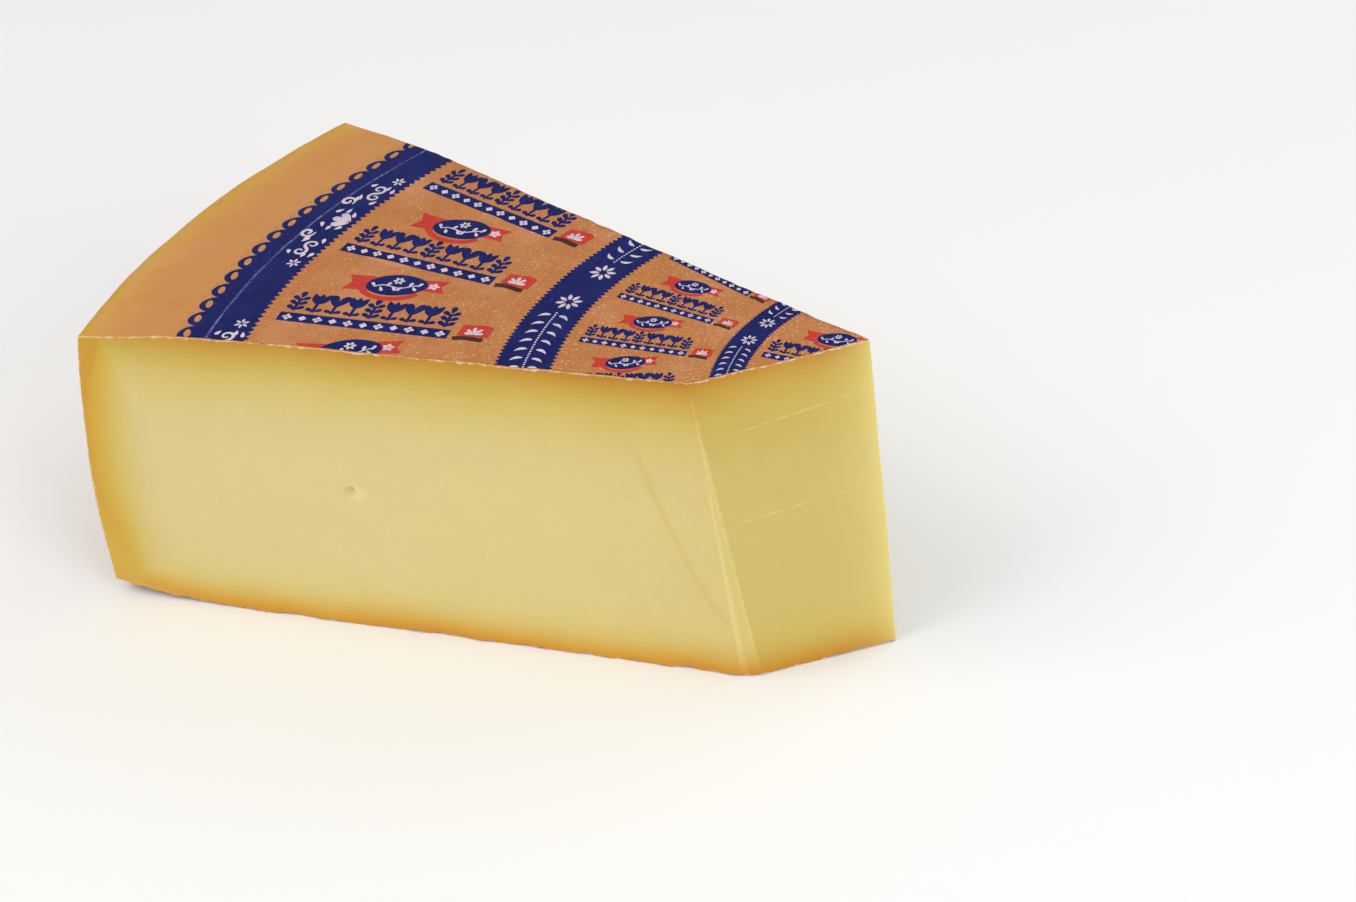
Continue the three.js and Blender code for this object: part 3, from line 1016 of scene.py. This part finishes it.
# The film's outline: the three cuts at the top, drawn in a little and slightly ragged, and the heel's arc.
def filmOutline():
    t = np.linspace(0, 1, 240)
    one = np.ones_like(t)
    inAlong = film["inset"] / film["length"]
    inAcross = film["inset"] / lerp(wedge["heelWidth"], wedge["tipWidth"], t)
    atTip = film["inset"] / wedge["tipWidth"]
    front = wedgePoint(lerp(0, 1 - inAlong, t), inAcross, one)[:, :2]
    some = one[::4]
    tip = wedgePoint(some - inAlong, lerp(atTip, 1 - atTip, t[::4]), some)[1:-1, :2]
    backEdge = wedgePoint(lerp(0, 1 - inAlong, t), 1 - inAcross, one)[::-1, :2]
    cut = np.concatenate([front, tip, backEdge])
    cut = cut[np.hypot(*cut.T) < film["radius"]]
    ends = [np.degrees(np.arctan2(p[1], -p[0])) for p in (cut[-1], cut[0])]
    arc = arcLine(film["radius"], *ends)[1:-1]
    outline = np.concatenate([cut, arc])
    x, y = outline.T
    return outline + film["drift"] * np.stack([swell(x, y, 5, 41), swell(x, y, 5, 42)], -1)


# The film laid flat: triangles between a net of points and every ink's outline. Each takes the last ink that
# was painted over its middle.
def printedFace(outline):
    low, high = outline.min(0), outline.max(0)
    net = np.meshgrid(*[np.arange(low[i], high[i], film["mesh"]) for i in (0, 1)])
    net = np.stack(net, -1).reshape(-1, 2)
    net = net[inside(net, outline)]
    kept = [s for s in shapes if (s[1].max(0) > low).all() and (s[1].min(0) < high).all()]
    places, edges = [net], []
    count = len(net)
    for loop in [outline] + [s[1] for s in kept]:
        n = len(loop)
        places.append(loop)
        edges += [(count + i, count + (i + 1) % n) for i in range(n)]
        count += n
    made = delaunay_2d_cdt([Vector(p) for p in np.concatenate(places)], edges, [], 0, 1e-3, False)
    flat, faces = np.array([tuple(p) for p in made[0]]), np.array(made[2])
    centres = flat[faces].mean(1)
    use = inside(centres, outline)
    faces, centres = faces[use], centres[use]
    ink = np.zeros(len(faces), int)
    for number, loop in kept:
        near = np.flatnonzero(((centres >= loop.min(0)) & (centres <= loop.max(0))).all(1))
        ink[near[inside(centres[near], loop)]] = number
    used, faces = np.unique(faces, return_inverse=True)
    return flat[used], faces.reshape(-1, 3), ink


# The film as one closed sheet: the flat face at two heights over the rind, and a wall between their rims.
def filmSheet():
    flat, faces, ink = printedFace(filmOutline())
    # the rim's edges are those whose reverse no face has
    halves = np.concatenate([faces[:, [0, 1]], faces[:, [1, 2]], faces[:, [2, 0]]])
    codes = halves[:, 0] * len(flat) + halves[:, 1]
    rim = halves[~np.isin(codes, halves[:, 1] * len(flat) + halves[:, 0])]
    x, y = flat.T
    rest = topHeight(np.hypot(x, y)) + topRelief(x, y)
    # towards its rim at the heel the film thins out and sinks into the rind
    thin = np.clip((film["radius"] - np.hypot(x, y)) / film["sinkWidth"], 0, 1)
    levels = lerp(film["sunk"], film["over"], thin), lerp(2 * film["sunk"], film["under"], thin)
    points = np.concatenate([np.stack([x, y, rest + level], -1) for level in levels])
    below = len(flat)
    sides = np.stack([rim[:, 1], rim[:, 0], rim[:, 0] + below, rim[:, 1] + below], -1)
    allFaces = faces.tolist() + (faces[:, ::-1] + below).tolist() + sides.tolist()
    return points, allFaces, np.concatenate([ink, np.zeros(len(faces) + len(sides), int)])


def makeInk(name, inkHex, streakHex, streakShare, speckHex, speckShare):
    material, tree, shader = newMaterial(name)
    place = addNode(tree, "TexCoord").outputs["Object"]
    colour = hexColour(inkHex)
    if name == inks[clear][0]:
        # where it thins out at the heel it looks as the bare rind does
        flat = addNode(tree, "VectorMath", (place, (1, 1, 0)), operation="MULTIPLY")
        radius = addNode(tree, "VectorMath", (flat, (*axisPlace[:2] * mm, 0)), operation="DISTANCE")
        fade = (film["radius"] - film["rimWidth"]) * mm, (film["radius"] - 1) * mm
        colour = tinted(tree, colour, [(radius, *fade, 0, 1, rind["fromHeel"][-1][1])])
        colour = patchy(tree, place, colour)
    # streaks of uneven ink, as long as the strokes of the roller
    drawn = addNode(tree, "Mapping", {"Vector": place, "Rotation": (0, 0, 0.9), "Scale": (1.0, 0.3, 1.0)})
    streaks = addNode(tree, "TexNoise", {
        "Vector": drawn, "Scale": perMetre(3.5), "Detail": 3.0, "Roughness": 0.6,
    })
    # ink missing in the hollows of the weave: specks of about half a millimetre, more of them towards the tip
    specks = addNode(tree, "TexNoise", {
        "Vector": place, "Scale": perMetre(1.0), "Detail": 2.0, "Roughness": 0.6,
    })
    crowd = addNode(tree, "TexNoise", {"Vector": place, "Scale": perMetre(16), "Detail": 2.0})
    x = addNode(tree, "SeparateXYZ", (place,)).outputs["X"]
    crowd = addNode(tree, "Math", (
        addNode(tree, "MapRange", (crowd, 0.3, 0.7, -0.02, 0.06)),
        addNode(tree, "MapRange", (x, -0.06, 0.12, 0, 0.045)),
    ), operation="ADD")
    specks = addNode(tree, "Math", (specks, crowd), operation="ADD")
    colour = tinted(tree, colour, [
        (streaks, 0.45, 0.75, 0, streakShare, streakHex),
        (specks, 0.62, 0.74, 0, speckShare, speckHex),
    ])
    cloth = clothPrint(tree, place)
    value = addNode(tree, "MapRange", (cloth, 0.2, 0.8, 0.97, 1.03))
    plug(tree, shader, {
        "Base Color": addNode(tree, "HueSaturation", {"Value": value, "Color": colour}),
        "Roughness": addNode(tree, "MapRange", (streaks, 0.2, 0.8, 0.5, 0.64)),
        "Normal": addNode(tree, "Bump", {"Height": cloth, "Distance": 0.0003, "Strength": 0.5}),
        "IOR": 1.5,
        "Specular IOR Level": 0.14,
    })
    return material


sheetPoints, sheetFaces, sheetInks = filmSheet()
labelPiece = makePiece("printedFilm", sheetPoints, sheetFaces, [makeInk(*ink) for ink in inks], sheetInks)
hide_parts("printed_label")
print("film:", len(sheetFaces), "faces in", len(shapes), "printed shapes")


# Floor, light and camera.

studio = {
    "floor": "#fafaf9",
    "floorReach": 5.0,  # metres
    "air": "#f4f6fa",
    "airStrength": 0.62,
    "lamps": [  # name, place and size in metres, watts, colour
        ("wideSoftbox", (-0.75, -0.7, 1.25), 1.1, 9.3, "#fff8ee"),
        ("fillSoftbox", (1.2, -0.5, 0.6), 0.8, 7.0, "#fbfbff"),
        ("rearSoftbox", (0.5, 1.0, 0.9), 0.8, 2.5, "#ffffff"),
    ],
    "lampAim": (0, 0, 0.05),
    "lensMm": 69.19,
    "azimuth": 31.167,  # degrees
    "elevation": 35.758,
    "roll": -4.531,
    "distance": 880.83,  # mm
    "aim": (-102.53, 3.58, 55.0),  # mm from the wheel's axis
}


def makeStudio():
    reach = studio["floorReach"]
    corners = [(-reach, -reach, 0), (reach, -reach, 0), (reach, reach, 0), (-reach, reach, 0)]
    mesh = bpy.data.meshes.new("floor")
    mesh.from_pydata(corners, [], [(0, 1, 2, 3)])
    floor = bpy.data.objects.new("floor", mesh)
    bpy.context.scene.collection.objects.link(floor)
    material, _, shader = newMaterial("matt white card")
    shader.inputs["Base Color"].default_value = hexColour(studio["floor"])
    shader.inputs["Roughness"].default_value = 0.9
    mesh.materials.append(material)
    world = bpy.data.worlds.new("studio air")
    world.use_nodes = True
    world.node_tree.nodes["Background"].inputs["Color"].default_value = hexColour(studio["air"])
    world.node_tree.nodes["Background"].inputs["Strength"].default_value = studio["airStrength"]
    bpy.context.scene.world = world
    for name, place, size, watts, colour in studio["lamps"]:
        lamp = bpy.data.lights.new(name, "AREA")
        lamp.shape, lamp.size, lamp.energy, lamp.color = "SQUARE", size, watts, hexColour(colour)[:3]
        holder = bpy.data.objects.new(name, lamp)
        holder.location = place
        towards = Vector(studio["lampAim"]) - Vector(place)
        holder.rotation_euler = towards.to_track_quat("-Z", "Y").to_euler()
        bpy.context.scene.collection.objects.link(holder)


def makeCamera():
    az, el, roll = (np.radians(studio[k]) for k in ("azimuth", "elevation", "roll"))
    back = Vector((np.sin(az) * np.cos(el), -np.cos(az) * np.cos(el), np.sin(el)))
    level = Vector((0, 0, 1)).cross(back).normalized()
    up = back.cross(level)
    right = level * np.cos(roll) + up * np.sin(roll)
    up = up * np.cos(roll) - level * np.sin(roll)
    camera = bpy.data.objects.new("camera", bpy.data.cameras.new("camera"))
    camera.data.lens = studio["lensMm"]
    camera.data.sensor_width = 36.0
    place = (Vector(studio["aim"]) + Vector(axisPlace)) * mm + back * studio["distance"] * mm
    camera.matrix_world = Matrix.Translation(place) @ Matrix((right, up, back)).transposed().to_4x4()
    bpy.context.scene.collection.objects.link(camera)
    bpy.context.scene.camera = camera


makeStudio()
makeCamera()
bpy.context.scene.view_settings.view_transform = "Standard"
print("studio ready")
